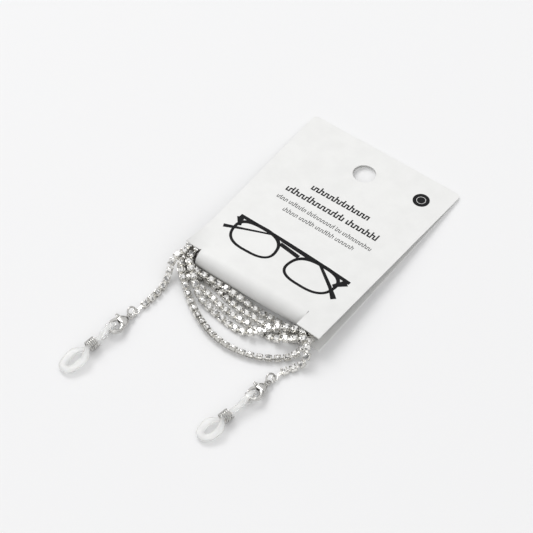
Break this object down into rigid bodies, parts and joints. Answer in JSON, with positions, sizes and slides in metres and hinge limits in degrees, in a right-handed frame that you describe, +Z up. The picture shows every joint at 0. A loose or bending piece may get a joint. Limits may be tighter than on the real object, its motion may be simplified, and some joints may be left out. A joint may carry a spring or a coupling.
{
  "type": "eyeglass retainer chain on card",
  "caption": "Rhinestone cup chain for holding spectacles, wound on a folded hang card, with lobster clasps and silicone temple loops at its ends",
  "frame": {"origin": "centre of the card's hang hole, on the surface that the card lies on", "axes": "+X to the card's right, +Y towards the hanging edge, +Z up out of the front panel"},
  "size_m": [0.0672, 0.1353, 0.0119],
  "materials": {
    "card_board": "satin coated card",
    "chain_silver": "bright silver plate",
    "clear_stone": "faceted clear crystal",
    "plated_steel": "bright nickel plate",
    "silicone": "milky translucent silicone, semi gloss"
  },
  "bodies": {
    "carded_chain": {"card_back_panel": "card_board", "card_front_panel": "card_board", "card_fold_spine": "card_board", "wound_chain_cups": "chain_silver", "wound_chain_stones": "clear_stone", "wound_chain_links": "chain_silver", "left_tail_cups": "chain_silver", "left_tail_stones": "clear_stone", "left_tail_links": "chain_silver", "right_tail_cups": "chain_silver", "right_tail_stones": "clear_stone", "right_tail_links": "chain_silver", "left_chain_end_connector": "chain_silver", "right_chain_end_connector": "chain_silver"},
    "left_ring": {"left_jump_ring": "plated_steel"},
    "left_clasp": {"left_clasp_body": "plated_steel", "left_lever_rivet": "plated_steel", "left_lever_spring": "plated_steel"},
    "left_lever": {"left_clasp_lever": "plated_steel"},
    "left_loop": {"left_temple_loop": "silicone"},
    "left_coil": {"left_coil_slider": "plated_steel"},
    "right_ring": {"right_jump_ring": "plated_steel"},
    "right_clasp": {"right_clasp_body": "plated_steel", "right_lever_rivet": "plated_steel", "right_lever_spring": "plated_steel"},
    "right_lever": {"right_clasp_lever": "plated_steel"},
    "right_loop": {"right_temple_loop": "silicone"},
    "right_coil": {"right_coil_slider": "plated_steel"}
  },
  "joints": [
    {"name": "left_ring_swing", "type": "hinge", "parent": "carded_chain", "child": "left_ring", "pos_m": [-0.02764, -0.09038, 0.00108], "axis": [0, 0, 1], "range_deg": [-35, 35]},
    {"name": "left_clasp_lift", "type": "hinge", "parent": "left_ring", "child": "left_clasp", "pos_m": [-0.02778, -0.09176, 0.00197], "axis": [-0.9945, 0.1045, 0], "range_deg": [0, 75]},
    {"name": "left_lever_open", "type": "hinge", "parent": "left_clasp", "child": "left_lever", "pos_m": [-0.02985, -0.096, 0.00175], "axis": [0.0274, 0.1187, 0.9925], "range_deg": [0, 14], "stiffness_Nm_per_rad": 0.002},
    {"name": "left_loop_swing", "type": "hinge", "parent": "left_clasp", "child": "left_loop", "pos_m": [-0.02962, -0.10212, 0.00247], "axis": [-0.9903, 0.1392, 0], "range_deg": [0, 50]},
    {"name": "left_coil_slide", "type": "slide", "parent": "left_loop", "child": "left_coil", "axis": [-0.1391, -0.99, -0.0244], "range_m": [-0.0012, 0.0008]},
    {"name": "right_ring_swing", "type": "hinge", "parent": "carded_chain", "child": "right_ring", "pos_m": [0.0244, -0.08537, 0.00118], "axis": [0, 0, 1], "range_deg": [-35, 35]},
    {"name": "right_clasp_lift", "type": "hinge", "parent": "right_ring", "child": "right_clasp", "pos_m": [0.02429, -0.08683, 0.00195], "axis": [-0.9491, 0.2017, 0.2419], "range_deg": [0, 75]},
    {"name": "right_lever_open", "type": "hinge", "parent": "right_clasp", "child": "right_lever", "pos_m": [0.02212, -0.09117, 0.00157], "axis": [-0.1186, 0.141, 0.9829], "range_deg": [0, 14], "stiffness_Nm_per_rad": 0.002},
    {"name": "right_loop_swing", "type": "hinge", "parent": "right_clasp", "child": "right_loop", "pos_m": [0.02276, -0.09723, 0.00252], "axis": [-0.9816, 0.1908, 0], "range_deg": [0, 50]},
    {"name": "right_coil_slide", "type": "slide", "parent": "right_loop", "child": "right_coil", "axis": [-0.1908, -0.9813, -0.0244], "range_m": [-0.003, 0]}
  ]
}
